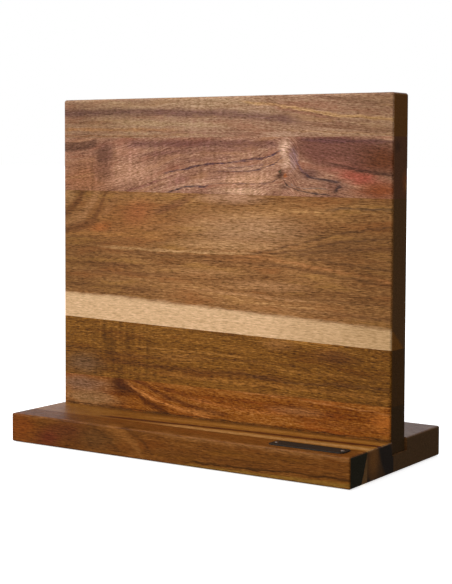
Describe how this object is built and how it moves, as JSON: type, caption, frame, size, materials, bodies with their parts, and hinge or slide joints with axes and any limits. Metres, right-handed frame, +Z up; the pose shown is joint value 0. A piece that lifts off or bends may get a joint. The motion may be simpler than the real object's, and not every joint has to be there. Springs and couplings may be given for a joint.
{
  "type": "magnetic knife block",
  "caption": "Free-standing two-sided magnetic knife block: an upright laminated wood board with hidden magnets, standing in a grooved wood base with a blank plate.",
  "frame": {"origin": "centre of the block's footprint, on the surface it stands on", "axes": "+X along the width towards the end that carries the plate, +Y from the plated front edge to the back, +Z up"},
  "size_m": [0.3, 0.141, 0.269],
  "materials": {
    "board_wood": "oiled and lacquered acacia staves, satin",
    "base_wood": "oiled and lacquered acacia staves, satin, darker than the board",
    "magnet": "sintered ferrite, matte dark grey",
    "keeper_steel": "plain rolled steel strip",
    "screw_steel": "zinc plated",
    "pad_rubber": "matte black",
    "plate_bronze": "dark bronze, satin, blank",
    "pin_bronze": "dark bronze, polished by handling"
  },
  "bodies": {
    "root": {"base_front_stave": "base_wood", "base_middle_stave": "base_wood", "base_rear_stave": "base_wood", "base_screws": "screw_steel", "foot_pad_front_left": "pad_rubber", "foot_pad_front_right": "pad_rubber", "foot_pad_rear_left": "pad_rubber", "foot_pad_rear_right": "pad_rubber", "front_leaf_stave_1": "board_wood", "front_leaf_stave_2": "board_wood", "front_leaf_stave_3": "board_wood", "front_leaf_stave_4": "board_wood", "front_leaf_stave_5": "board_wood", "front_magnet_1_1": "magnet", "front_magnet_1_2": "magnet", "front_magnet_1_3": "magnet", "front_magnet_2_1": "magnet", "front_magnet_2_2": "magnet", "front_magnet_2_3": "magnet", "front_magnet_3_1": "magnet", "front_magnet_3_2": "magnet", "front_magnet_3_3": "magnet", "keeper_strip_1": "keeper_steel", "keeper_strip_2": "keeper_steel", "keeper_strip_3": "keeper_steel", "name_plate": "plate_bronze", "plate_pins": "pin_bronze", "rear_leaf_stave_1": "board_wood", "rear_leaf_stave_2": "board_wood", "rear_leaf_stave_3": "board_wood", "rear_leaf_stave_4": "board_wood", "rear_leaf_stave_5": "board_wood", "rear_magnet_1_1": "magnet", "rear_magnet_1_2": "magnet", "rear_magnet_1_3": "magnet", "rear_magnet_2_1": "magnet", "rear_magnet_2_2": "magnet", "rear_magnet_2_3": "magnet", "rear_magnet_3_1": "magnet", "rear_magnet_3_2": "magnet", "rear_magnet_3_3": "magnet"}
  },
  "joints": []
}
